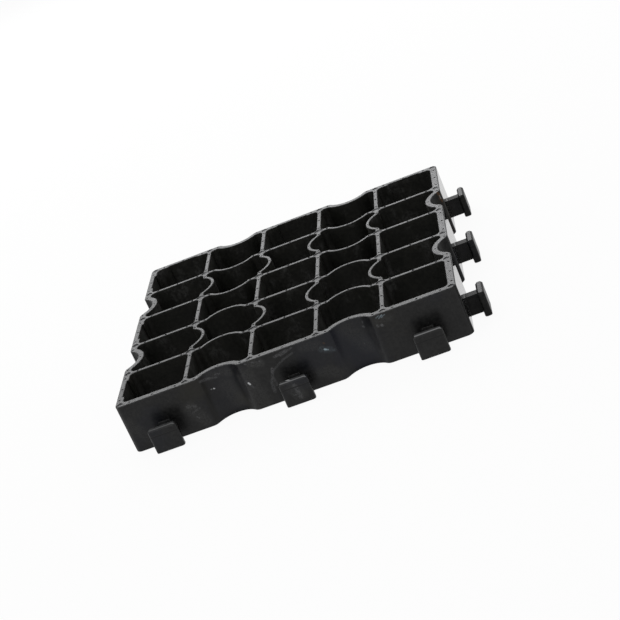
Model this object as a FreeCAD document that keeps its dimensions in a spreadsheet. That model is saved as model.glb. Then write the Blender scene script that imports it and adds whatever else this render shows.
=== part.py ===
import FreeCAD, Part
import math
import operator
import os
import Sketcher
from types import SimpleNamespace

# Grass paver grid, moulded in one piece. Millimetres, +Z up, the underside on z = 0.
# The frame without its hooks is centred on the Z axis. +X is the right side, -Y the front.

# Driving dimensions of the paver
sizes = {
    "cell_clear": 60.0,       # clear width of a cell between straight walls
    "inner_wall": 4.5,        # straight walls between cells
    "outer_wall": 7.5,        # straight walls of the outer frame
    "paver_height": 50.0,
    "wave_rise": 10.5,        # how far the middle line of a waved wall leaves the straight line
    "wave_radius": 26.5,      # bend of that middle line
    "wave_foot": 4.0,         # blend from the straight wall into the wave
    "outer_foot": 8.0,        # the same on the frame's outer faces
    "wave_land": 0.5,         # least straight wall between a wave's foot and a rounded corner
    "inner_wave_wall": 3.6,   # waved walls between cells
    "outer_wave_wall": 6.2,   # waved walls of the outer frame
    "cell_corner": 5.0,       # rounding of the cells' corners
    "paver_corner": 6.0,      # rounding of the frame's four corners
    "neck_length": 12.5,      # hooks: web between the wall and the head
    "neck_width": 10.0,
    "neck_low": 2.5,
    "neck_height": 19.5,
    "head_width": 28.0,       # hooks: cross head at the end of the neck
    "head_thickness": 7.0,
    "head_low": 1.0,
    "head_height": 24.5,
    "head_corner": 2.5,
    "head_bevel": 1.7,
    "slot_clearance": 1.0,    # room for a neighbour's neck in the slot, on each side and above
    "seat_clearance": 3.0,    # room for a neighbour's head in its seat, at each end
    "seat_depth": 2.0,        # how far the seat is let into the wall's inner face
    "overlap": 1.0,           # cuts run this far past the faces they open, necks this far into wall and head
}

cells_per_side = 5
alternate = 2                 # straight and waved stretches take turns along a wall
straight_cells = (cells_per_side + 1) // alternate
sides = 4
full_turn = 360.0
quarter_turn = 90.0
level_tolerance = 1e-4


class Length:
    # a formula over the sheet's cells, kept together with what it comes to

    def __init__(self, text, value):
        self.text = text
        self.value = value

    def joined(self, sign, other, work):
        if not isinstance(other, Length):
            other = Length(str(other), other)
        return Length("({} {} {})".format(self.text, sign, other.text), work(self.value, other.value))

    def __add__(self, other):
        return self.joined("+", other, operator.add)

    def __sub__(self, other):
        return self.joined("-", other, operator.sub)

    def __mul__(self, other):
        return self.joined("*", other, operator.mul)

    def __rmul__(self, factor):
        return self * factor

    def __truediv__(self, other):
        return self.joined("/", other, operator.truediv)

    def __neg__(self):
        return self * -1


def root(length):
    return Length("sqrt({})".format(length.text), math.sqrt(length.value))


def smaller(one, two):
    return Length("min({}; {})".format(one.text, two.text), min(one.value, two.value))


doc = FreeCAD.newDocument("paver_grid")
sheet = doc.addObject("Spreadsheet::Sheet", "Sizes")
for row, (name, value) in enumerate(sizes.items(), start=1):
    sheet.set("A{}".format(row), name)
    sheet.set("B{}".format(row), str(value))
    sheet.setAlias("B{}".format(row), name)
doc.recompute()
size = SimpleNamespace(**{name: Length("Sizes." + name, value) for name, value in sizes.items()})

# Lengths that several features share
pitch = size.cell_clear + size.inner_wall
half_cell = size.cell_clear / 2
half_frame = cells_per_side * size.cell_clear / 2 + (cells_per_side - 1) * size.inner_wall / 2 + size.outer_wall
inner_face = half_frame - size.outer_wall
wave_drop = size.wave_radius - size.wave_rise
foot_reach = size.wave_radius + size.outer_wave_wall / 2 + size.wave_foot
foot_drop = wave_drop + size.outer_wall / 2 + size.wave_foot
wave_spread = root(foot_reach * foot_reach - foot_drop * foot_drop)
corner = smaller(size.cell_corner, half_cell - wave_spread - size.wave_land)
neck_top = size.neck_low + size.neck_height
head_top = size.head_low + size.head_height
head_bevel = smaller(size.head_bevel, (head_top - neck_top) / 2)
neck_reach = half_frame + size.neck_length
head_reach = neck_reach + size.head_thickness
slot_width = size.neck_width + 2 * size.slot_clearance
slot_height = neck_top + size.slot_clearance
seat_width = size.head_width + 2 * size.seat_clearance

body = doc.addObject("PartDesign::Body", "paver_grid")
body.Label = "paver_grid"
origin = {feature.Role: feature for feature in body.Origin.OriginFeatures}


def centre_of(number):
    # middle of a column or row, counted from 1 at the left or the front
    return pitch * (number - (cells_per_side + 1) / 2)


def plan_point(x, y):
    return FreeCAD.Vector(x.value, y.value, 0)


def turned(side, along, out):
    # a point given along and out from a side, side 0 at the front, then counter-clockwise
    quarter = side * math.pi / 2
    return FreeCAD.Vector(along * math.cos(quarter) + out * math.sin(quarter),
                          along * math.sin(quarter) - out * math.cos(quarter), 0)


class Outline:
    # a closed run of lines and arcs in one sketch, each piece tangent to the next or meeting it in a corner

    def __init__(self, name, level=None):
        self.sketch = body.newObject("Sketcher::SketchObject", name)
        self.sketch.AttachmentSupport = (origin["XY_Plane"], [""])
        self.sketch.MapMode = "FlatFace"
        if level:
            self.sketch.setExpression("AttachmentOffset.Base.z", level.text)
        self.pieces = []

    def bind(self, kind, places, length):
        self.sketch.addConstraint(Sketcher.Constraint(kind, *places, length.value))
        self.sketch.setExpression("Constraints[{}]".format(self.sketch.ConstraintCount - 1), length.text)

    def line(self, start, end, across, tangent=True):
        # an upright or level line, held by its distance across from the sketch's origin
        number = self.sketch.addGeometry(Part.LineSegment(start, end), False)
        upright = abs(end.y - start.y) > abs(end.x - start.x)
        self.sketch.addConstraint(Sketcher.Constraint("Vertical" if upright else "Horizontal", number))
        self.bind("DistanceX" if upright else "DistanceY", (-1, 1, number, 1), across)
        self.pieces.append((number, 1, 2, tangent))

    def arc(self, centre, start, end, left_turn, radius, middle=None):
        first, last = (start, end) if left_turn else (end, start)
        begin = math.atan2(first.y - centre.y, first.x - centre.x)
        stop = math.atan2(last.y - centre.y, last.x - centre.x)
        circle = Part.Circle(centre, FreeCAD.Vector(0, 0, 1), radius.value)
        number = self.sketch.addGeometry(Part.ArcOfCircle(circle, begin, stop), False)
        self.bind("Radius", (number,), radius)
        if middle:
            self.bind("DistanceX", (-1, 1, number, 3), middle[0])
            self.bind("DistanceY", (-1, 1, number, 3), middle[1])
        self.pieces.append((number, 1 if left_turn else 2, 2 if left_turn else 1, True))

    def close(self):
        for (one, _, end, smooth_end), (two, start, _, smooth_start) in zip(
                self.pieces, self.pieces[1:] + self.pieces[:1]):
            kind = "Tangent" if smooth_end and smooth_start else "Coincident"
            self.sketch.addConstraint(Sketcher.Constraint(kind, one, end, two, start))
        doc.recompute()
        return self.sketch


def side_across(side, column, row, out):
    # distance of a cell's side from the sketch's origin, with its sign
    middle = centre_of(row if side in (0, 2) else column)
    return middle - out if side in (0, 3) else middle + out


def side_middle(side, column, row, out):
    # place in the plan that lies straight out from a cell's middle
    if side in (0, 2):
        return centre_of(column), side_across(side, column, row, out)
    return side_across(side, column, row, out), centre_of(row)


def wave(outline, side, column, row, base, line_out, face_radius, foot_radius, length, inward):
    # straight wall, foot, bend, foot and straight wall again, in this order along a cell's side,
    # out to a length on either hand of the cell's middle
    turn = -1 if inward else 1
    bend_out = line_out + wave_drop if inward else line_out - wave_drop
    centre = plan_point(centre_of(column), centre_of(row))
    radius = face_radius.value
    foot = foot_radius.value
    foot_out = base.value + turn * foot
    spread = math.sqrt((radius + foot) ** 2 - (foot_out - bend_out.value) ** 2)
    bend = centre + turned(side, 0, bend_out.value)
    feet = [centre + turned(side, sign * spread, foot_out) for sign in (-1, 1)]
    joins = [bend + (middle - bend) * (radius / (radius + foot)) for middle in feet]
    starts = [centre + turned(side, sign * spread, base.value) for sign in (-1, 1)]
    ends = [centre + turned(side, sign * length.value, base.value) for sign in (-1, 1)]
    across = side_across(side, column, row, base)
    outline.line(ends[0], starts[0], across)
    outline.arc(feet[0], starts[0], joins[0], inward, foot_radius)
    outline.arc(bend, joins[0], joins[1], not inward, face_radius, side_middle(side, column, row, bend_out))
    outline.arc(feet[1], joins[1], starts[1], inward, foot_radius)
    outline.line(starts[1], ends[1], across)


# Walls beside a cell: middle line out from the cell's middle, and thickness of a waved stretch
inner = SimpleNamespace(line=half_cell + size.inner_wall / 2, wave=size.inner_wave_wall)
outer = SimpleNamespace(line=half_cell + size.outer_wall / 2, wave=size.outer_wave_wall)


def cell_sketch(name, column, row, waves):
    # waves names the waved sides: which wall, and whether it bulges into the cell
    outline = Outline(name)
    centre = plan_point(centre_of(column), centre_of(row))
    half = half_cell.value
    reach = half - corner.value
    for side in range(sides):
        if side in waves:
            wall, inward = waves[side]
            face_radius = size.wave_radius + wall.wave / 2 if inward else size.wave_radius - wall.wave / 2
            wave(outline, side, column, row, half_cell, wall.line, face_radius,
                 size.wave_foot, half_cell - corner, inward)
        else:
            outline.line(centre + turned(side, -reach, half), centre + turned(side, reach, half),
                         side_across(side, column, row, half_cell))
        outline.arc(centre + turned(side, reach, reach), centre + turned(side, reach, half),
                    centre + turned(side, half, reach), True, corner)
    return outline.close()


def box_sketch(name, left, right, front, back, level=None):
    # plain rectangle between two upright and two level lines
    outline = Outline(name, level)
    corners = [plan_point(x, y) for x, y in ((left, front), (right, front), (right, back), (left, back))]
    for start, end, across in zip(corners, corners[1:] + corners[:1], (front, right, back, left)):
        outline.line(start, end, across, tangent=False)
    return outline.close()


def round_box_sketch(name, left, right, front, back, radius, level=None):
    # rectangle with four rounded corners
    outline = Outline(name, level)
    middle = (plan_point(left, front) + plan_point(right, back)) / 2
    spans = (right.value - left.value) / 2, (back.value - front.value) / 2
    bend = radius.value
    for side, across in enumerate((front, right, back, left)):
        along, out = spans[side % 2], spans[1 - side % 2]
        outline.line(middle + turned(side, bend - along, out), middle + turned(side, along - bend, out), across)
        outline.arc(middle + turned(side, along - bend, out - bend), middle + turned(side, along - bend, out),
                    middle + turned(side, along, out - bend), True, radius)
    return outline.close()


def pad(name, sketch, length):
    feature = body.newObject("PartDesign::Pad", name)
    feature.Profile = sketch
    feature.setExpression("Length", length.text)
    doc.recompute()
    return feature


def pocket(name, sketch, length=None):
    # cut upwards from the underside, right through unless a length is given
    before = body.Shape.Volume
    feature = body.newObject("PartDesign::Pocket", name)
    feature.Profile = sketch
    feature.Reversed = True
    if length:
        feature.setExpression("Length", length.text)
    else:
        feature.Type = "ThroughAll"
    doc.recompute()
    if body.Shape.Volume >= before:
        raise RuntimeError("{} cuts nothing".format(name))
    return feature


def row_of(name, axis, count):
    # every second cell along an axis
    feature = body.newObject("PartDesign::LinearPattern", name)
    feature.Direction = (origin[axis], [""])
    feature.setExpression("Length", (pitch * (alternate * (count - 1))).text)
    feature.Occurrences = count
    return feature


def round_of(name, count, angle):
    feature = body.newObject("PartDesign::PolarPattern", name)
    feature.Axis = (origin["Z_Axis"], [""])
    feature.Angle = angle
    feature.Occurrences = count
    return feature


def left_to_right(name):
    feature = body.newObject("PartDesign::Mirrored", name)
    feature.MirrorPlane = (origin["YZ_Plane"], [""])
    return feature


def repeat(name, features, steps):
    # the same features again at every place that the steps lead to
    pattern = body.newObject("PartDesign::MultiTransform", name)
    pattern.Originals = features
    pattern.Transformations = steps
    body.Tip = pattern
    doc.recompute()


def bevel(name, level, width):
    # break every edge that lies level at one height
    base = body.Tip
    edges = ["Edge{}".format(number) for number, edge in enumerate(base.Shape.Edges, start=1)
             if abs(edge.BoundBox.ZMin - level.value) < level_tolerance
             and abs(edge.BoundBox.ZMax - level.value) < level_tolerance]
    feature = body.newObject("PartDesign::Chamfer", name)
    feature.Base = (base, edges)
    feature.setExpression("Size", width.text)
    body.Tip = feature
    doc.recompute()


# Slab with rounded corners
pad("slab", round_box_sketch("slab_plan", -half_frame, half_frame, -half_frame, half_frame, size.paver_corner),
    size.paver_height)

# T-hooks on the front and right walls
first = centre_of(1)
neck = pad("hook_neck", box_sketch(
    "hook_neck_plan", first - size.neck_width / 2, first + size.neck_width / 2,
    -neck_reach - size.overlap, -half_frame + size.overlap, size.neck_low), size.neck_height)
head = pad("hook_head", round_box_sketch(
    "hook_head_plan", first - size.head_width / 2, first + size.head_width / 2,
    -head_reach, -neck_reach, size.head_corner, size.head_low), size.head_height)
repeat("hooks", [neck, head],
       [row_of("hooks_across", "X_Axis", straight_cells), round_of("hooks_round", 2, quarter_turn)])
bevel("head_bevels", head_top, head_bevel)

# Waved stretches of the frame's outer faces, two to a side: each notch is cut in from outside the front wall
notch = Outline("notch_plan")
front_face = pitch - half_cell - size.outer_wall
wave(notch, 2, 2, 0, front_face, pitch - outer.line, size.wave_radius - outer.wave / 2,
     size.outer_foot, half_cell, False)
notch_left = centre_of(2) - half_cell
notch_right = centre_of(2) + half_cell
outside = -half_frame - size.overlap
ends = [plan_point(x, y) for x, y in (
    (notch_left, -half_frame), (notch_left, outside), (notch_right, outside), (notch_right, -half_frame))]
for start, end, across in zip(ends, ends[1:], (notch_left, outside, notch_right)):
    notch.line(start, end, across, tangent=False)
repeat("notches", [pocket("notch", notch.close())],
       [left_to_right("notches_mirrored"), round_of("notches_round", sides, full_turn)])

# Seats and slots in the back and left walls, which take a neighbour's hooks
seat = pocket("hook_seat", box_sketch(
    "hook_seat_plan", first - seat_width / 2, first + seat_width / 2,
    inner_face - size.overlap, inner_face + size.seat_depth))
slot = pocket("hook_slot", box_sketch(
    "hook_slot_plan", first - slot_width / 2, first + slot_width / 2,
    inner_face - size.overlap, half_frame + size.overlap), slot_height)
repeat("hook_slots", [seat, slot],
       [row_of("hook_slots_across", "X_Axis", straight_cells), round_of("hook_slots_round", 2, quarter_turn)])

# Cells with four straight walls
repeat("square_cells", [pocket("square_cell", cell_sketch("square_cell_plan", 1, 1, {}))],
       [row_of("square_cells_across", "X_Axis", straight_cells),
        row_of("square_cells_deep", "Y_Axis", straight_cells)])

# Cells beside the frame whose two waves follow each other
edge_waves = {0: (outer, True), 2: (inner, False)}
repeat("edge_cells", [pocket("edge_cell", cell_sketch("edge_cell_plan", 2, 1, edge_waves))],
       [left_to_right("edge_cells_mirrored"), round_of("edge_cells_round", sides, full_turn)])

# Cells pinched by two waves that bulge towards each other
pinching_waves = {0: (inner, True), 2: (inner, True)}
repeat("pinched_cells", [pocket("pinched_cell", cell_sketch("pinched_cell_plan", 2, 3, pinching_waves))],
       [round_of("pinched_cells_round", sides, full_turn)])

# Cells with a wave on all four sides
four_waves = {0: (inner, True), 1: (inner, False), 2: (inner, False), 3: (inner, True)}
repeat("waved_cells", [pocket("waved_cell", cell_sketch("waved_cell_plan", 2, 2, four_waves))],
       [round_of("waved_cells_round", sides, full_turn)])

# Nothing is written unless every object is sound
for item in doc.Objects:
    if "Invalid" in item.State or "Error" in item.State:
        raise RuntimeError("{} failed".format(item.Name))
if body.Shape.isNull() or not body.Shape.isValid() or len(body.Shape.Solids) != 1:
    raise RuntimeError("paver_grid isn't one sound solid")

os.makedirs("parts", exist_ok=True)
body.Shape.exportStep("parts/{}.step".format(body.Label))
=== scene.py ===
import math
from types import SimpleNamespace
import bmesh
import bpy
import numpy as np
from mathutils import Matrix, Vector
from mathutils.geometry import delaunay_2d_cdt


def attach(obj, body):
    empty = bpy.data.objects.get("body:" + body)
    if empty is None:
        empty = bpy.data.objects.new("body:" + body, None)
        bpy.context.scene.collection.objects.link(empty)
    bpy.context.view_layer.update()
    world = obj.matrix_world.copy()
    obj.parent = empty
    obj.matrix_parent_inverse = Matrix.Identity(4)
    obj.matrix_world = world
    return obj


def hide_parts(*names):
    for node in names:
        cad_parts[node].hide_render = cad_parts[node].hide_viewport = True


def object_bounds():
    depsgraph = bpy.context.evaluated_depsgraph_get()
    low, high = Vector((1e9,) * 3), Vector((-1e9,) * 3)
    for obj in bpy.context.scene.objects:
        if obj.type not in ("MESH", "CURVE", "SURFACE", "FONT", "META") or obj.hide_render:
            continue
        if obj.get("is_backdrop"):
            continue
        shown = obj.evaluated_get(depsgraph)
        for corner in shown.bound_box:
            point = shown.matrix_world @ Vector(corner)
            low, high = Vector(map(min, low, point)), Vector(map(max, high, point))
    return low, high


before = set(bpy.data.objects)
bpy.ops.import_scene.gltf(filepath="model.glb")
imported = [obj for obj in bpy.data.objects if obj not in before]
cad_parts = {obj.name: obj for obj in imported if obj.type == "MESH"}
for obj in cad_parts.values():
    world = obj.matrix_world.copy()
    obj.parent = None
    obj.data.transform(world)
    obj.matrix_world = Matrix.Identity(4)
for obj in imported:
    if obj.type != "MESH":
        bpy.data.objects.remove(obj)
cadLow, cadHigh = (np.array(corner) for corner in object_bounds())
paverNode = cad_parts["paver_grid"]
millimetre = 0.001
print("frame loaded, box in mm", np.round((cadHigh - cadLow) / millimetre, 1))


# paver body: the moulded grid with eased rims, hooks with broken corners, and the marks of its mould

paverBody = {
    "cells": 5,
    "pitch": 0.0645,            # metres between the middle lines of two walls
    "frameHalf": -cadLow[0],    # from the middle to the frame's outer faces: the left one has no hooks
    "outerWall": 0.0075,
    "waveRise": 0.0105,         # how far a waved wall leaves the straight line, towards the middle
    "outerDepth": 0.021,        # the outer faces, waves included, lie within this depth
    "rimRadius": 0.0009,        # rounding along the rims, top and underside
    "rimSteps": 4,
    "rimPower": 4,              # how soon the finish of the rim's top ends in that rounding
    "frameWear": 0.4,           # the frame's outer edges are rubbed, the cells' edges dull
    "hookRadius": 0.0005,       # rounding along the hooks' square corners
    "hookSteps": 2,
    "hookProfile": 0.5,         # 0.5 is round
    "hookAngle": 60.0,          # degrees, a bend above this is a square corner
    "hookLow": 0.0009,          # the hooks lie between these heights
    "hookHigh": 0.027,
    "hookWear": 0.1,
    "headTop": 0.025,           # flat tops above this are heads, below it necks
    "neckLit": 0.1,
    "neckDull": 0.88,           # a dull film lies on the flat tops of the necks
    "flatAngle": 0.5,           # degrees, triangles that bend less are one flat face
    "cornerAngle": 40.0,        # degrees, a bend above this shows as an edge
    "upward": 0.95,             # a top looks up by this share at least
    "outward": 0.1,             # and an outer face looks out by this share
    "mergeWithin": 0.00002,     # points of the solid that are nearer are one
    "weldWithin": 0.000005,     # and so are these of the new skin
    "sliverWithin": 0.0000005,  # narrower faces are dropped
    "fillWithin": 0.000001,     # millimetres, for the flat faces
}

mouldMarks = {
    "pitRadius": 0.0012,        # round pits along the rims
    "crestPitRadius": 0.0008,   # the waved walls are thinner
    "pitFromNode": 0.0095,      # beside each crossing, and one in the middle of every wall
    "pitOutward": 0.0005,       # in the outer walls they lie off the middle line
    "pitPower": 2,              # 2 is a circle, 1 a sharp diamond
    "pitSteps": 12,
    # width share, depth and painted shade of each ring
    "pitProfile": ((1.0, 0.0, 0.6), (0.9, 0.00015, 1.0), (0.8, 0.0008, 1.0), (0.4, 0.0011, 1.0)),
    "pocketRadius": 0.0052,     # shallow diamonds in the crossings
    "edgePocketRadius": 0.0034,
    "edgePocketIn": 0.0046,     # their middle, measured from the frame's outer face
    "pocketPower": 1.3,
    "pocketSteps": 28,
    # the pockets' rings in the same way: width share, depth and painted shade
    "pocketProfile": ((1.0, 0.0, 0.4), (0.94, 0.0003, 0.5), (0.86, 0.0007, 0.2), (0.8, 0.0008, 0.0)),
}

faceShares = ("wear", "lip", "pit", "rim", "crown", "outside")   # what each face tells the finish, 0 to 1


class Skin:
    # pieces of one closed skin, collected as arrays and welded in the end; each face carries its shares

    def __init__(self):
        self.points, self.faces, self.count = [], [], 0
        self.shares = {name: [] for name in faceShares}

    def add(self, points, faces, **shares):
        # points and the faces between them
        self.addFaces(np.asarray(faces) + self.count, **shares)
        points = np.asarray(points, float).reshape(-1, 3)
        self.points.append(points)
        self.count += len(points)

    def addFaces(self, faces, **shares):
        # faces between points that are there already
        self.faces += faces.tolist()
        for name, values in self.shares.items():
            values.append(np.broadcast_to(shares.get(name, 0.0), len(faces)))

    def weld(self, name, p):
        # a mesh whose faces have their shares as attributes, and the same with its doubles merged
        mesh = bpy.data.meshes.new(name)
        mesh.from_pydata(np.concatenate(self.points).tolist(), [], self.faces)
        for share, values in self.shares.items():
            layer = mesh.attributes.new(share, "FLOAT", "FACE")
            layer.data.foreach_set("value", np.concatenate(values).astype(np.float32))
        bm = bmesh.new()
        bm.from_mesh(mesh)
        bmesh.ops.remove_doubles(bm, verts=bm.verts, dist=p["weldWithin"])
        bmesh.ops.dissolve_degenerate(bm, edges=bm.edges, dist=p["sliverWithin"])
        return mesh, bm


def readArray(items, name, width, kind):
    # one property of all points, corners or faces of a mesh, as rows
    values = np.empty(len(items) * width, kind)
    items.foreach_get(name, values)
    return values.reshape(-1, width)


def cadArrays(node, within):
    # the solid's loose triangles with their doubles merged, as points and triangles
    bm = bmesh.new()
    bm.from_mesh(node.data)
    bmesh.ops.remove_doubles(bm, verts=bm.verts, dist=within)
    merged = bpy.data.meshes.new("merged")
    bm.to_mesh(merged)
    bm.free()
    points = readArray(merged.vertices, "co", 3, np.float32).astype(float)
    triangles = readArray(merged.loops, "vertex_index", 1, np.int32).astype(int).reshape(-1, 3)
    bpy.data.meshes.remove(merged)
    return points, triangles


def gridFaces(rows, columns):
    # quads of a grid whose columns close into a ring
    r, c = np.meshgrid(np.arange(rows - 1), np.arange(columns), indexing="ij")
    after = (c + 1) % columns
    corners = (r * columns + c, r * columns + after, (r + 1) * columns + after, (r + 1) * columns + c)
    return np.stack(corners, axis=-1).reshape(-1, 4)


def borderLoops(triangles):
    # edges that only one triangle has, walked into closed loops with the face on their left
    edges = np.concatenate([triangles[:, pair] for pair in ((0, 1), (1, 2), (2, 0))])
    size = edges.max() + 1
    lonely = ~np.isin(edges[:, 0] * size + edges[:, 1], edges[:, 1] * size + edges[:, 0])
    follow = dict(edges[lonely].tolist())
    loops = []
    while follow:
        loop = [next(iter(follow))]
        while loop[-1] in follow:
            loop.append(follow.pop(loop[-1]))
        loops.append(np.array(loop[:-1]))
    return loops


def leftward(plan):
    # at each point of a closed outline, the step that moves both its edges one unit to the left
    run = np.roll(plan, -1, axis=0) - plan
    run /= np.linalg.norm(run, axis=1, keepdims=True)
    after = np.c_[-run[:, 1], run[:, 0]]
    before = np.roll(after, 1, axis=0)
    return (before + after) / (1 + (before * after).sum(axis=1, keepdims=True))


def insideOf(points, loops, batch=400):
    # even-odd rule: a point is inside if a ray from it crosses the outlines an odd number of times
    starts = np.concatenate(loops)
    ends = np.concatenate([np.roll(loop, -1, axis=0) for loop in loops])
    run = ends - starts
    slope = run[:, 0] / np.where(run[:, 1] == 0, 1, run[:, 1])
    inside = []
    for part in np.array_split(points, max(1, len(points) // batch)):
        x, y = part[:, :1], part[:, 1:]
        spans = (starts[:, 1] > y) != (ends[:, 1] > y)
        crossed = spans & (x < starts[:, 0] + (y - starts[:, 1]) * slope)
        inside.append(crossed.sum(axis=1) % 2 == 1)
    return np.concatenate(inside)


def flatFill(skin, loops, level, up, within):
    # triangles of a flat face between its outlines, worked out in millimetres
    scaled = [loop / millimetre for loop in loops]
    ends = np.cumsum([len(loop) for loop in loops])
    edges = []
    for end, loop in zip(ends, loops):
        index = np.arange(end - len(loop), end)
        edges += np.c_[index, np.roll(index, -1)].tolist()
    corners, _, faces, *_ = delaunay_2d_cdt(np.concatenate(scaled).tolist(), edges, [], 0, within)
    plan, faces = np.array(corners), np.array(faces)
    faces = faces[insideOf(plan[faces].mean(axis=1), scaled)]
    points = np.c_[plan * millimetre, np.full(len(plan), level)]
    skin.add(points, faces[:, ::up], rim=max(up, 0))


def easedRim(skin, points, triangles, level, up, p):
    # a quarter round from the walls to the flat face: it goes in by r - r cos a while it rises by r sin a
    radius, steps = p["rimRadius"], p["rimSteps"]
    flat = np.all(np.abs(points[triangles][:, :, 2] - level) < p["mergeWithin"], axis=1)
    angle = np.linspace(0, math.pi / 2, steps + 1)[:, None]
    inner = []
    for loop in borderLoops(triangles[flat]):
        points[loop, 2] = level - up * radius
        plan = points[loop, :2]
        into = up * leftward(plan)
        rings = plan + into * (radius - radius * np.cos(angle))[:, :, None]
        height = level - up * radius * (1 - np.sin(angle)) + np.zeros(len(plan))
        middle = ((angle[1:] + angle[:-1]) / 2 + np.zeros(len(plan))).ravel()
        ofFrame = np.ptp(plan[:, 0]) > p["frameHalf"]
        wear = ofFrame * p["frameWear"] * np.sin(2 * middle)
        lip = (1 - ofFrame) * np.cos(middle)
        rim = max(up, 0) * np.sin(middle) ** p["rimPower"]
        skin.add(np.dstack([rings, height]), gridFaces(steps + 1, len(plan)), wear=wear, lip=lip, rim=rim)
        inner.append(rings[-1])
    return triangles[~flat], inner


def dimples(skin, centres, radii, level, power, steps, profile):
    # an outline |x|^n + |y|^n = 1 at each centre, drawn in and let down along a profile
    turn = np.linspace(0, 2 * math.pi, steps, endpoint=False)
    ring = np.c_[np.cos(turn), np.sin(turn)]
    ring /= (np.abs(ring) ** power).sum(axis=1, keepdims=True) ** (1 / power)
    wide, deep, dark = np.array(profile).T
    plan = centres[:, None, None] + (radii[:, None] * wide)[:, :, None, None] * ring
    height = np.broadcast_to((level - deep)[None, :, None, None], plan.shape[:3] + (1,))
    block = len(wide) * steps
    before = np.arange(len(centres))[:, None] * block
    walls = (gridFaces(len(wide), steps)[None] + before[:, :, None]).reshape(-1, 4)
    floors = np.arange(block - steps, block)[None] + before + skin.count
    # painted shade darkens each ring and the floor of every dimple
    shade = np.tile(np.repeat(dark[:-1], steps), len(centres))
    skin.add(np.concatenate([plan, height], axis=-1), walls, pit=shade, rim=1)
    skin.addFaces(floors, pit=dark[-1], rim=1)
    return list(plan[:, 0])


def wallLines(p):
    # middle lines of the walls in one direction
    return (np.arange(p["cells"] + 1) - p["cells"] / 2) * p["pitch"]


def pitPlaces(p, m):
    # three pits along every wall, the middle one on the crest where the wall is waved
    half = p["pitch"] / 2
    lines = wallLines(p)
    side = np.sign(lines)
    outer = side * (p["frameHalf"] - p["outerWall"] / 2 + m["pitOutward"])
    rows = np.where(np.abs(lines) < lines.max(), lines, outer)
    stretch = np.arange(p["cells"])
    steps = np.array([m["pitFromNode"] - half, 0.0, half - m["pitFromNode"]])
    along = (stretch - (p["cells"] - 1) / 2)[None, :, None] * p["pitch"] + steps + 0 * rows[:, None, None]
    crest = (stretch % 2 == 1)[None, :, None] * (steps == 0)
    across = rows[:, None, None] - side[:, None, None] * p["waveRise"] * crest
    places = np.stack([along, across], axis=-1).reshape(-1, 2)
    radii = np.where(crest, m["crestPitRadius"], m["pitRadius"]) + 0 * across
    return np.concatenate([places, places[:, ::-1]]), np.tile(radii.ravel(), 2)


def pocketPlaces(p, m):
    # one shallow diamond in every crossing, moved in from the outer faces
    lines = wallLines(p)
    edge = np.abs(lines) > lines.max() - p["mergeWithin"]
    rows = np.where(edge, np.sign(lines) * (p["frameHalf"] - m["edgePocketIn"]), lines)
    x, y = np.meshgrid(rows, rows)
    nearEdge = edge[:, None] | edge[None]
    radii = np.where(nearEdge, m["edgePocketRadius"], m["pocketRadius"])
    return np.c_[x.ravel(), y.ravel()], radii.ravel()


def breakHookCorners(bm, p):
    # join the hooks' flat triangles, then round every corner of necks and heads
    face = p["frameHalf"] - p["mergeWithin"]

    def onHook(v):
        return (v.co.y < -face or v.co.x > face) and p["hookLow"] < v.co.z < p["hookHigh"]

    verts = [v for v in bm.verts if onHook(v)]
    edges = list({e for v in verts for e in v.link_edges})
    bmesh.ops.dissolve_limit(bm, angle_limit=math.radians(p["flatAngle"]), verts=verts, edges=edges)
    corners = [e for e in bm.edges if onHook(e.verts[0]) and onHook(e.verts[1])
               and abs(e.calc_face_angle(0)) > math.radians(p["hookAngle"])]
    made = bmesh.ops.bevel(bm, geom=corners, offset=p["hookRadius"], offset_type="OFFSET",
                           segments=p["hookSteps"], profile=p["hookProfile"], affect="EDGES",
                           clamp_overlap=False, loop_slide=True)
    worn, dull, pale = (bm.faces.layers.float[name] for name in ("wear", "lip", "crown"))
    for corner in made["faces"]:
        corner[worn] = p["hookWear"]
    # painted light: flat tops are marked for a paler tone, the heads in full and the necks a little
    for top in bm.faces:
        if top.normal.z > p["upward"] and all(onHook(v) for v in top.verts):
            onHead = top.calc_center_median().z > p["headTop"]
            top[pale] = 1.0 if onHead else p["neckLit"]
            top[dull] = 0.0 if onHead else p["neckDull"]


def markOutside(mesh, p):
    # faces of the frame that look away from its middle, and the hooks
    middle = readArray(mesh.polygons, "center", 3, np.float32)
    normal = readArray(mesh.polygons, "normal", 3, np.float32)
    far = np.abs(middle[:, :2])
    axis = far.argmax(axis=1)
    row = np.arange(len(far))
    edge = far[row, axis]
    away = np.sign(middle[row, axis]) * normal[row, axis] > p["outward"]
    onHooks = edge > p["frameHalf"] + p["mergeWithin"]
    outside = onHooks | (away & (edge > p["frameHalf"] - p["outerDepth"]))
    mesh.attributes["outside"].data.foreach_set("value", outside.astype(np.float32))


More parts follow.
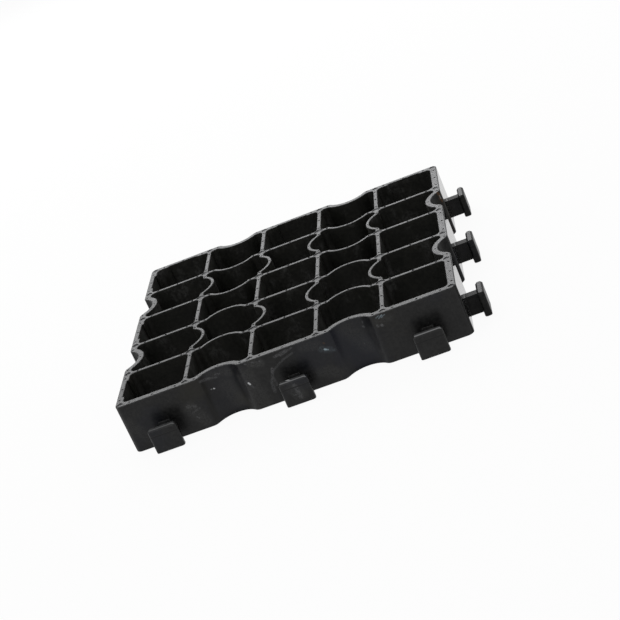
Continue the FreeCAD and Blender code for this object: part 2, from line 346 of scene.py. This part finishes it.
def buildPaverBody(p, m):
    # eased rims, the walls of the solid, dimples and flat faces, welded into one skin
    skin = Skin()
    points, triangles = cadArrays(paverNode, p["mergeWithin"])
    top, bottom = points[:, 2].max(), points[:, 2].min()
    triangles, rim = easedRim(skin, points, triangles, top, 1, p)
    triangles, sole = easedRim(skin, points, triangles, bottom, -1, p)
    skin.add(points, triangles)
    pits = dimples(skin, *pitPlaces(p, m), top, m["pitPower"], m["pitSteps"], m["pitProfile"])
    pockets = dimples(skin, *pocketPlaces(p, m), top, m["pocketPower"], m["pocketSteps"],
                      m["pocketProfile"])
    flatFill(skin, rim + pits + pockets, top, 1, p["fillWithin"])
    flatFill(skin, sole, bottom, -1, p["fillWithin"])
    mesh, bm = skin.weld("paverBody", p)
    breakHookCorners(bm, p)
    bmesh.ops.delete(bm, geom=[v for v in bm.verts if not v.link_faces], context="VERTS")
    print("open edges", sum(not e.is_manifold for e in bm.edges))
    bm.to_mesh(mesh)
    bm.free()
    markOutside(mesh, p)
    mesh.polygons.foreach_set("use_smooth", np.ones(len(mesh.polygons), bool))
    mesh.set_sharp_from_angle(angle=math.radians(p["cornerAngle"]))
    body = bpy.data.objects.new("paverBody", mesh)
    bpy.context.collection.objects.link(body)
    evened = body.modifiers.new("evenedNormals", "WEIGHTED_NORMAL")
    evened.keep_sharp = True
    return body


body = buildPaverBody(paverBody, mouldMarks)
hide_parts("paver_grid")
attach(body, "root")
print("paver body", len(body.data.vertices), "points", len(body.data.polygons), "faces")


# finish: shader maths on sockets

class Sock:
    # a socket that plain arithmetic works on, each step adding a Math node

    def __init__(self, tree, socket):
        self.tree = tree
        self.socket = socket

    def node(self, kind, settings, inputs, output=0):
        # any node by its type: its settings first, then values or links for its sockets
        made = self.tree.nodes.new(kind)
        for name, value in settings.items():
            setattr(made, name, value)
        for name, value in inputs.items():
            if isinstance(value, Sock):
                value.feed(made, name)
            else:
                made.inputs[name].default_value = value
        return Sock(self.tree, made.outputs[output])

    def feed(self, node, name):
        self.tree.links.new(self.socket, node.inputs[name])

    def maths(self, operation, one, two=0.0):
        return self.node("ShaderNodeMath", {"operation": operation}, {0: one, 1: two})

    def __add__(self, other):
        return self.maths("ADD", self, other)

    def __radd__(self, other):
        return self.maths("ADD", other, self)

    def __sub__(self, other):
        return self.maths("SUBTRACT", self, other)

    def __rsub__(self, other):
        return self.maths("SUBTRACT", other, self)

    def __mul__(self, other):
        return self.maths("MULTIPLY", self, other)

    def __rmul__(self, other):
        return self.maths("MULTIPLY", other, self)

    def either(self, other):
        return self.maths("MAXIMUM", self, other)

    def size(self):
        return self.maths("ABSOLUTE", self)

    def fade(self, low, high):
        # 0 at low, 1 at high and smooth between
        return self.node("ShaderNodeMapRange", {"interpolation_type": "SMOOTHSTEP"},
                         {"Value": self, "From Min": low, "From Max": high})

    def between(self, one, two):
        # number one where the socket is 0, number two where it is 1
        return one + self * (two - one)

    def blend(self, one, two):
        # colour one where the socket is 0, colour two where it is 1
        return self.node("ShaderNodeMix", {"data_type": "RGBA"}, {0: self, 6: one, 7: two}, 2)

    def axes(self):
        # the three numbers of a place, each as a socket
        apart = self.node("ShaderNodeSeparateXYZ", {}, {0: self})
        return [Sock(self.tree, out) for out in apart.socket.node.outputs]

    def tall(self, share):
        # a place with less height, so that a noise there is drawn out upwards
        return self.node("ShaderNodeVectorMath", {"operation": "MULTIPLY"}, {0: self, 1: (1.0, 1.0, share)})

    def noise(self, scale, detail, roughness):
        return self.node("ShaderNodeTexNoise", {}, {"Vector": self, "Scale": scale, "Detail": detail,
                                                    "Roughness": roughness})


def newMaterial(name):
    mat = bpy.data.materials.new(name)
    mat.use_nodes = True
    return mat, mat.node_tree, mat.node_tree.nodes["Principled BSDF"]


def objectPlace(tree):
    return Sock(tree, tree.nodes.new("ShaderNodeTexCoord").outputs["Object"])


def finishWith(tree, share, one, two):
    # surface one where the share is 0, surface two where it is 1
    mixed = share.node("ShaderNodeMixShader", {}, {0: share, 1: one, 2: two})
    mixed.feed(tree.nodes["Material Output"], "Surface")


plasticFinish = {
    "inside": (0.0085, 0.0085, 0.0074, 1),    # the moulded black inside the cells
    "insidePale": (0.021, 0.021, 0.018, 1),
    "outside": (0.0060, 0.0060, 0.0062, 1),   # and on the outer faces, which are handled more
    "outsidePale": (0.020, 0.020, 0.0196, 1),
    "cool": (0.0085, 0.0097, 0.0155, 1),      # blue and olive patches of the recycled melt
    "coolWaves": 0.35,                        # the waves are bluer
    "coolReach": (0.03, 0.015),               # metres from their crests, to the start and to the full blue
    "coolPatches": 0.5,
    "olive": (0.016, 0.0147, 0.0105, 1),
    "olivePatches": 0.6,
    "smudge": (0.058, 0.0583, 0.056, 1),      # pale smudges in the cells
    "rim": (0.06, 0.0606, 0.0618, 1),         # rim tops are duller and paler
    "rimLitPale": (0.17, 0.1717, 0.1751, 1),     # painted light makes them paler still towards the back right corner
    "rimLitReach": 0.3,                          # metres, x and y added up
    "rimDark": (0.02, 0.0205, 0.022, 1),
    "edge": (0.11, 0.111, 0.114, 1),          # rubbed corners
    "crown": (0.05, 0.0505, 0.0515, 1),       # flat tops of the hooks, painted paler as if lit from above
    # painted shade in the pits and pockets and in the fine step around the heads
    "pit": (0.003, 0.003, 0.003, 1),
    "scuff": (0.085, 0.085, 0.088, 1),        # scuffed patches outside
    "scuffPatches": 0.6,
    "strokeCore": 0.3,                        # share of a mark's width that has its full strength
    "lineHeight": 0.0186,                     # fine step around the hooks' heads, drawn dark with painted shade
    "lineWidth": (0.0008, 0.00032),           # from where it starts to where it is full
    "lineShade": 0.85,
    "lineDeep": 3.0,                          # in depths of the grain
    "grain": 0.00005,                         # metres, depth of the moulded grain
    "gloss": 0.2,
    "roughInside": 0.45,
    "roughOutside": 0.32,
    "roughSides": 0.09,                       # flat outer faces to the left and right
    "roughRim": 0.5,
    "roughVary": 0.15,                        # how much the fine noise changes it, inside and outside
    "roughVaryRim": 0.5,
    "filmTone": (0.026, 0.026, 0.0247, 1),        # dull film without sheen
    "filmRough": 1.0,
    "shadeFilmHooks": 0.75,                        # painted shade: the film dulls the right hooks
    "shadeFilmHollow": 0.85,                       # and the hollows of the sides
    "filmLeast": 0.7,                         # there it is clouded
    "filmLips": 0.9,                          # and along the cells' edges
    # metres beyond the frame's outer face at which these parts start and are reached in full
    "sideBand": (-0.0003, -0.0001),
    "hookBand": (0.0003, 0.0007),
    "headBand": (0.0125, 0.0135),
    "cornerBand": 0.0005,                     # left and right end this close to the corners' diagonals
    # scale per metre, detail and roughness of each noise
    "noises": {
        "cloud": (32.0, 4.0, 0.6),
        "fine": (300.0, 4.0, 0.65),
        "patch": (17.0, 3.0, 0.5),
        "drag": (150.0, 3.0, 0.5),
        "smudge": (48.0, 5.0, 0.7),
        "speckle": (620.0, 2.0, 0.6),
        "rimCloud": (80.0, 3.0, 0.5),
        "torn": (820.0, 4.0, 0.65),
        "dust": (210.0, 4.0, 0.7),
        "grain": (1100.0, 2.0, 0.5),
    },
    "noiseMiddle": 0.5,                       # every noise lies evenly around this
    # noises drawn out along the height
    "tall": {"drag": 0.07, "smudge": 0.6, "dust": 0.45},
    # where a noise starts to show and where it shows in full
    "levels": {
        "cloud": (0.35, 0.68),
        "mottle": (0.4, 0.6),
        "drag": (0.5, 0.75),
        "cool": (0.55, 0.7),
        "olive": (0.47, 0.33),
        "smudge": (0.52, 0.72),
        "smudgeGrain": (0.3, 0.6),
        "rim": (0.4, 0.58),
        "wear": (0.38, 0.6),
        "crown": (0.25, 0.55),
        "torn": (0.3, 0.62),
        "dust": (0.64, 0.78),
        "dustPatch": (0.4, 0.6),
    },
    "mottleMix": (0.35, 0.45, 0.2),           # shares of cloud, fine and drag
    "rimMix": (0.45, 0.35, 0.2),              # of fine, speckle and rimCloud
    "grainMix": (0.5, 0.5),                   # of fine and grain
}

# marks of handling, with painted shade, painted light and painted glints among them: colour, whether the
# grain breaks it up, and strokes as from, to, width in millimetres and strength
plasticMarks = {
    "hollowShade": ((0.005, 0.005, 0.0045, 1), False, (
        ((-48.1, -162.1, 49), (-45.6, -164.9, 42), 4.2, 0.2),
        ((-83, -164.5, 30), (-83, -164.5, 6), 5, 0.9),
    )),
    # painted light: pale strokes that lift the shade at the waves' feet
    "footPaintedLight": ((0.04, 0.04, 0.041, 1), False, (
        ((-48.5, -162.5, 36), (-48, -163, 12), 5, 0.7),
        ((80.5, -162.5, 36), (81, -163, 14), 5, 0.55),
    )),
    "dust": ((0.05, 0.05, 0.049, 1), True, (
        ((-42, -166.5, 36), (-36, -166.5, 6), 13, 0.5),
        ((-33, -166.5, 46), (-24, -166.5, 44), 5.5, 0.8),
        ((-101, -166.5, 25), (-93, -166.5, 8), 9, 0.55),
        ((-150, -166.5, 12), (-160, -166.5, 30), 8, 0.3),
        ((-74, -158, 45), (-56, -157, 42), 6, 0.45),
        ((-64, -156, 30), (-60, -156, 10), 10, 0.35),
        ((18, -166.5, 44), (30, -166.5, 42), 7, 0.35),
        ((25, -166.5, 15), (38, -166.5, 10), 8, 0.4),
        ((60, -156, 42), (70, -157, 20), 11, 0.35),
        ((90, -166.5, 44), (100, -166.5, 43), 6, 0.4),
        ((-2, -186, 18), (2, -186, 10), 8, 0.5),
    )),
    "scuffs": ((0.1, 0.1, 0.104, 1), True, (
        ((6.6, -166.5, 42.4), (-3.5, -166.5, 39.5), 1.5, 0.5),
        ((-3.5, -166.5, 39.5), (-11.7, -166.5, 34.9), 1.6, 0.45),
        ((-11.7, -166.5, 34.9), (-16.5, -166.5, 31.9), 1.5, 0.4),
        ((-16, -166.5, 34.5), (-17.2, -166.5, 31.2), 2, 1.0),
        ((-16.5, -166.5, 31.9), (-21.1, -166.5, 22.9), 2, 0.55),
        ((-18.5, -166.5, 27), (-18, -166.5, 18), 1.8, 0.5),
        ((-21.1, -166.5, 22.9), (-22.4, -166.5, 12.5), 2.4, 0.6),
        ((-22.1, -166.5, 14), (-21.9, -166.5, 11.8), 1.2, 0.8),
        ((-9.4, -166.5, 44.8), (2.2, -166.5, 47), 2, 0.8),
        ((-4, -166.5, 44), (8, -166.5, 47.8), 1.4, 0.7),
        ((-82.7, -164.1, 45.6), (-75.5, -158.3, 43.2), 2, 0.7),
        ((-75.5, -158.3, 43.2), (-69.3, -155.9, 40.7), 1.4, 0.6),
        ((-69.3, -155.9, 43.6), (-65.4, -155.4, 43.1), 1.3, 0.7),
        ((-37.5, -166.5, 47.8), (-36.8, -166.5, 47.4), 1.3, 0.8),
        ((-30.5, -166.5, 47.2), (-29.6, -166.5, 47), 1.2, 0.8),
        ((-24.2, -166.5, 45.8), (-23.6, -166.5, 46.2), 1.1, 0.7),
        ((-43, -166.5, 31), (-39, -166.5, 23.5), 1.8, 0.35),
        ((-103, -166.5, 27), (-96, -166.5, 25.5), 2.5, 0.4),
        ((-101, -166.5, 20), (-93, -166.5, 22), 1.4, 0.4),
        ((-99, -166.5, 15), (-97.5, -166.5, 13), 1.4, 0.5),
        ((0.5, -186, 20.3), (1.2, -186, 13.6), 2.8, 0.55),
        ((1.2, -186, 13.6), (1.6, -186, 7.5), 2.8, 0.6),
        ((-3, -186, 11.5), (3.5, -186, 9), 1.2, 0.5),
        ((88, -166.5, 39.3), (88.4, -166.5, 38.8), 2, 0.7),
        ((91.8, -166.5, 38.7), (92.3, -166.5, 38.2), 2, 1.0),
        ((74.6, -157.8, 39.8), (75, -157.8, 39.4), 1.7, 0.9),
        ((75.9, -158, 45), (75.5, -158, 43.5), 1.2, 0.5),
    )),
    "flecks": ((0.36, 0.45, 0.5, 1), False, (
        ((35.5, -166.5, 35.1), (36.6, -166.5, 34.5), 1.3, 0.9),
        ((36.6, -166.5, 34.5), (38.4, -166.5, 33.7), 1, 0.55),
    )),
    "scribble": ((0.26, 0.32, 0.36, 1), True, (
        ((89.6, -166.5, 47), (92.5, -166.5, 48.2), 0.8, 0.55),
        ((91.8, -166.5, 45.7), (95.2, -166.5, 48), 0.9, 0.7),
        ((94.4, -166.5, 45.8), (95.5, -166.5, 46.6), 0.9, 0.6),
        ((96.2, -166.5, 46.7), (97.8, -166.5, 47.3), 0.7, 0.45),
        ((38, -166.5, 33.8), (44, -166, 30.8), 2, 0.15),
        ((33, -166.5, 36), (40, -166.5, 33), 4.5, 0.12),
    )),
    "rust": ((0.11, 0.055, 0.025, 1), False, (
        ((36.7, -166.5, 41.4), (37.3, -166.5, 40.8), 1.4, 0.25),
        ((163.5, 82.2, 48.8), (164.3, 82.8, 46.2), 2.2, 0.9),
        ((163.4, 82.1, 43.2), (164, 82.6, 41.6), 1.8, 0.5),
        ((164.8, 83.3, 40.8), (165, 83.5, 38.5), 1.8, 0.6),
    )),
    # painted highlights: glints along the heads' upper front edges and down their left edges
    "headEdgeGlints": ((0.22, 0.221, 0.225, 1), False, (
        ((-140.5, -184.4, 25.5), (-118.5, -184.4, 25.5), 0.9, 0.4),
        ((-118.5, -184.4, 25.5), (-116, -185, 24.9), 0.9, 0.5),
        ((-11.5, -184.4, 25.5), (11, -184.4, 25.5), 1, 0.8),
        ((11, -184.4, 25.5), (13, -185, 24.9), 1, 0.9),
        ((117.5, -184.4, 25.5), (140, -184.4, 25.5), 1.1, 1.0),
        ((140, -184.4, 25.5), (142, -185, 24.9), 1, 1.0),
        ((-142.8, -185.8, 22), (-142.8, -185.8, 3), 0.7, 0.6),
        ((-13.8, -185.8, 22), (-13.8, -185.8, 3), 0.7, 0.25),
        ((115.2, -185.8, 22), (115.2, -185.8, 3), 0.7, 0.25),
    )),
    "specks": ((0.62, 0.63, 0.64, 1), False, (
        ((-77.6, -159.4, 32.8), (-77.2, -159.2, 32.6), 0.8, 0.3),
        ((-75.5, -158.2, 32.1), (-74.8, -157.8, 31.7), 0.9, 0.85),
        ((-41.7, -166.5, 29.1), (-40.7, -166.5, 27.5), 1.2, 1.0),
        ((-5.7, -180.9, 25.5), (-3.4, -182.2, 25.5), 1.2, 0.7),
        ((-3.4, -182.2, 25.5), (-2, -183.5, 25), 1, 0.5),
        ((164.2, 82.8, 45.5), (164.7, 83.2, 42), 0.9, 0.35),
    )),
}


def stroke(place, start, end, width, core):
    # 1 near the line from start to end, fading to 0 at its width: the distance to the line's nearest point
    start, end = Vector(start) * millimetre, Vector(end) * millimetre
    width = width * millimetre
    run = end - start
    along = run / run.length_squared
    away = place.node("ShaderNodeVectorMath", {"operation": "SUBTRACT"}, {0: place, 1: start})
    share = place.node("ShaderNodeVectorMath", {"operation": "DOT_PRODUCT"}, {0: away, 1: along}, "Value")
    share = place.node("ShaderNodeClamp", {}, {"Value": share})
    foot = place.node("ShaderNodeVectorMath", {"operation": "SCALE"}, {0: run, "Scale": share})
    gap = place.node("ShaderNodeVectorMath", {"operation": "DISTANCE"}, {0: away, 1: foot}, "Value")
    return gap.fade(width, width * core)


def strokes(place, lines, core):
    # the strongest of all strokes at each place
    masks = [stroke(place, start, end, width, core) * strength for start, end, width, strength in lines]
    joined = masks[0]
    for mask in masks[1:]:
        joined = joined.either(mask)
    return joined


def addUp(tones, shares):
    # tones times their shares, added up
    parts = [tone * share for tone, share in zip(tones, shares)]
    return sum(parts[1:], parts[0])


def readSurface(tree, p):
    # what the finish is made from: the place, the shares of each face, where it lies and the common noises
    noises, levels = p["noises"], p["levels"]
    place = objectPlace(tree)
    shares = {name: place.node("ShaderNodeAttribute", {"attribute_name": name}, {}, "Fac")
              for name in faceShares}
    at = SimpleNamespace(place=place, **shares)
    at.x, at.y, at.z = place.axes()
    half = paverBody["frameHalf"]
    at.flank = at.outside * (at.x.size() - at.y.size()).fade(-p["cornerBand"], p["cornerBand"])
    at.flatSide = (at.x.size() - half).fade(*p["sideBand"])
    at.onHooks = (at.x - half).fade(*p["hookBand"])
    at.onHeads = (at.x.either(0.0 - at.y) - half).fade(*p["headBand"])
    at.line = at.onHeads * (at.z - p["lineHeight"]).size().fade(*p["lineWidth"])
    at.fine = place.noise(*noises["fine"])
    at.patch = place.noise(*noises["patch"])
    at.cloud = place.noise(*noises["cloud"]).fade(*levels["cloud"])
    drag = place.tall(p["tall"]["drag"]).noise(*noises["drag"]).fade(*levels["drag"])
    at.mottle = addUp((at.cloud, at.fine.fade(*levels["mottle"]), drag), p["mottleMix"])
    return at


def mouldedBlack(at, p):
    # mottled black, with faint blue and olive patches outside and smudges in the cells
    levels = p["levels"]
    base = at.outside.blend(at.mottle.blend(p["inside"], p["insidePale"]),
                            at.mottle.blend(p["outside"], p["outsidePale"]))
    waves = (at.x.size() - paverBody["pitch"]).size().fade(*p["coolReach"])
    cool = waves * p["coolWaves"] + at.patch.fade(*levels["cool"]) * p["coolPatches"]
    base = (at.outside * cool).blend(base, p["cool"])
    base = (at.outside * at.patch.fade(*levels["olive"]) * p["olivePatches"]).blend(base, p["olive"])
    smudge = at.place.tall(p["tall"]["smudge"]).noise(*p["noises"]["smudge"]).fade(*levels["smudge"])
    smudge = smudge * at.fine.fade(*levels["smudgeGrain"])
    return ((1.0 - at.outside) * smudge).blend(base, p["smudge"])


def topsLightAndShade(at, base, p):
    # pale rims with painted light towards the back right, rubbed corners, hook tops painted paler as if lit
    # from above, pits darkened with painted shade
    noises, levels = p["noises"], p["levels"]
    speckle, rimCloud = (at.place.noise(*noises[name]) for name in ("speckle", "rimCloud"))
    tone = addUp((at.fine, speckle, rimCloud), p["rimMix"]).fade(*levels["rim"])
    # painted light: the rims' tone grows paler towards the back right corner
    pale = (at.x + at.y).fade(-p["rimLitReach"], p["rimLitReach"]).blend(p["rim"], p["rimLitPale"])
    base = at.rim.blend(base, tone.blend(p["rimDark"], pale))
    base = (at.wear * at.fine.fade(*levels["wear"])).blend(base, p["edge"])
    # painted light on the hooks' flat tops
    base = (at.crown * at.fine.fade(*levels["crown"])).blend(base, p["crown"])
    return at.pit.blend(base, p["pit"])


def marksWithPaintedLight(at, base, p, marks):
    # scuffed patches, the marks one kind after another with the painted shade, light and glints among them,
    # then the fine step around the hooks' heads in painted shade
    noises, levels = p["noises"], p["levels"]
    dust = at.place.tall(p["tall"]["dust"]).noise(*noises["dust"]).fade(*levels["dust"])
    dust = at.outside * dust * at.patch.fade(*levels["dustPatch"])
    base = (dust * p["scuffPatches"]).blend(base, p["scuff"])
    torn = at.place.noise(*noises["torn"]).fade(*levels["torn"])
    for colour, broken, lines in marks.values():
        mask = strokes(at.place, lines, p["strokeCore"])
        base = (mask * torn if broken else mask).blend(base, colour)
    return (at.line * p["lineShade"]).blend(base, p["pit"])


def sheen(at, p):
    # roughness: glossier outside, most on the flat sides, duller and uneven on the tops
    rough = at.outside.between(p["roughInside"], p["roughOutside"])
    rough = (at.flank * at.flatSide).between(rough, p["roughSides"])
    rough = at.rim.either(at.crown).between(rough, p["roughRim"])
    return rough + (at.fine - p["noiseMiddle"]) * at.rim.between(p["roughVary"], p["roughVaryRim"])


def filmShare(at, p):
    # where the dull film lies: as painted shade on the right hooks and in the side hollows, and along the
    # cells' edges
    onHooks = at.onHooks * (1.0 - at.crown) * p["shadeFilmHooks"]
    inHollow = at.flank * (1.0 - at.flatSide) * p["shadeFilmHollow"]
    clouded = onHooks.either(inHollow) * at.cloud.between(p["filmLeast"], 1.0)
    return clouded.either(at.lip * p["filmLips"])


def finishPaver(p, marks):
    mat, tree, plastic = newMaterial("recycledPlastic")
    at = readSurface(tree, p)
    base = marksWithPaintedLight(at, topsLightAndShade(at, mouldedBlack(at, p), p), p, marks)
    grain = addUp((at.fine, at.place.noise(*p["noises"]["grain"])), p["grainMix"]) - at.line * p["lineDeep"]
    bump = at.place.node("ShaderNodeBump", {}, {"Strength": 1.0, "Distance": p["grain"], "Height": grain})
    base.feed(plastic, "Base Color")
    sheen(at, p).feed(plastic, "Roughness")
    bump.feed(plastic, "Normal")
    plastic.inputs["Specular IOR Level"].default_value = p["gloss"]
    film = at.place.node("ShaderNodeBsdfPrincipled", {}, {
        "Base Color": (1.0 - at.mottle).blend(p["filmTone"], base),
        "Roughness": p["filmRough"],
        "Normal": bump,
        "Specular IOR Level": 0.0,
    })
    finishWith(tree, filmShare(at, p), Sock(tree, plastic.outputs[0]), film)
    return mat


body.data.materials.append(finishPaver(plasticFinish, plasticMarks))
print("finish done")


# floor, light and camera

studio = {
    "floorSize": 40.0,
    "floorDrop": 0.0002,
    "floorColour": (0.8, 0.8, 0.8, 1),
    "floorRough": 0.9,
    "floorWhite": 0.94,            # how much of the floor's white is its own, so that its shadow stays soft
    "shadeLeft": 0.3,              # under the paver the floor is mirrored darker
    "shadeBlur": 0.006,
    "cellWhite": 0.35,             # inside the cells it keeps more of its real shade
    "cellBlur": 0.001,
    "waveReach": 0.026,            # the waves dip inwards over this length to each side
    "waveTop": 0.004,              # and are flat over this one
    "white": (1, 1, 1, 1),
    "skyLight": 0.5,
    "panels": {                    # place, size, watts
        "backPanel": ((-0.45, 2.3, 1.25), (3.2, 1.6), 50.0),
        "topPanel": ((-0.9, -0.2, 2.4), (1.6, 1.6), 14.0),
    },
}


def lightPath(tree):
    # 1 where the camera looks straight at it, and 1 where it is seen mirrored or through something
    path = tree.nodes.new("ShaderNodeLightPath")
    seen, glossy, through = (Sock(tree, path.outputs[name])
                             for name in ("Is Camera Ray", "Is Glossy Ray", "Is Transmission Ray"))
    return seen, glossy.either(through)


def paintFloor(p, b):
    # paint that is mostly white of its own to the eye, less so in the cells and mirrored under the paver
    mat, tree, paint = newMaterial("floorPaint")
    paint.inputs["Base Color"].default_value = p["floorColour"]
    paint.inputs["Roughness"].default_value = p["floorRough"]
    paint.inputs["Specular IOR Level"].default_value = 0.0
    seen, mirrored = lightPath(tree)
    white = seen.node("ShaderNodeEmission", {}, {"Color": p["white"], "Strength": 1.0})
    x, y = (axis.size() for axis in objectPlace(tree).axes()[:2])
    dipX, dipY = ((along - b["pitch"]).size().fade(p["waveReach"], p["waveTop"]) * b["waveRise"]
                  for along in (y, x))
    face = b["frameHalf"]
    middle = face - b["outerWall"] / 2
    bare = x.either(y).fade(face - p["shadeBlur"], face)
    clear = (x + dipX).either(y + dipY).fade(middle - p["cellBlur"], middle + p["cellBlur"])
    seen = seen * clear.between(p["cellWhite"], 1.0)
    mirrored = mirrored * bare.between(p["shadeLeft"], 1.0)
    finishWith(tree, seen.either(mirrored) * p["floorWhite"], Sock(tree, paint.outputs[0]), white)
    return mat


def buildFloor(p, b):
    mesh = bpy.data.meshes.new("floor")
    s = p["floorSize"] / 2
    corners = np.array([(-s, -s), (s, -s), (s, s), (-s, s)])
    level = np.full(len(corners), cadLow[2] - p["floorDrop"])
    mesh.from_pydata(np.c_[corners, level].tolist(), [], [(0, 1, 2, 3)])
    mesh.materials.append(paintFloor(p, b))
    floor = bpy.data.objects.new("floor", mesh)
    bpy.context.collection.objects.link(floor)
    floor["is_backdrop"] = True


def buildSky(p):
    # white to the eye, and dimmer as a light
    world = bpy.data.worlds.new("studio")
    world.use_nodes = True
    seen, mirrored = lightPath(world.node_tree)
    sky = world.node_tree.nodes["Background"]
    sky.inputs["Color"].default_value = p["white"]
    seen.either(mirrored).between(p["skyLight"], 1.0).feed(sky, "Strength")
    bpy.context.scene.world = world


def buildPanels(p):
    # soft lights that look at the paver's middle
    for name, (spot, size, watts) in p["panels"].items():
        light = bpy.data.lights.new(name, "AREA")
        light.shape = "RECTANGLE"
        light.size, light.size_y = size
        light.energy = watts
        lamp = bpy.data.objects.new(name, light)
        lamp.location = spot
        lamp.rotation_euler = (-Vector(spot)).to_track_quat("-Z", "Y").to_euler()
        lamp.visible_camera = False
        bpy.context.collection.objects.link(lamp)


photoCamera = {
    "place": (0.2782, -1.5015, 0.6124),   # metres, in the paver's own frame
    "aim": (0.0149, -0.0399, 0.025),
    "roll": 23.79,                        # degrees, the picture is tipped so that the right side is high
    "lens": 95.02,                        # millimetres, and so is the sensor
    "sensor": 36,
    "clipEnd": 200,
}


def buildCamera(p):
    # looks from its place to its aim, with right and up turned by the roll
    place, aim = Vector(p["place"]), Vector(p["aim"])
    ahead = (aim - place).normalized()
    right = ahead.cross(Vector((0, 0, 1))).normalized()
    up = right.cross(ahead)
    tip = math.radians(p["roll"])
    up, right = math.cos(tip) * up + math.sin(tip) * right, math.cos(tip) * right - math.sin(tip) * up
    data = bpy.data.cameras.new("photoCamera")
    data.sensor_width = p["sensor"]
    data.lens = p["lens"]
    data.clip_end = p["clipEnd"]
    camera = bpy.data.objects.new("photoCamera", data)
    bpy.context.collection.objects.link(camera)
    camera.matrix_world = Matrix.Translation(place) @ Matrix((right, up, -ahead)).transposed().to_4x4()
    bpy.context.scene.camera = camera


buildFloor(studio, paverBody)
buildSky(studio)
buildPanels(studio)
buildCamera(photoCamera)
bpy.context.scene.view_settings.view_transform = "Standard"
print("studio done")
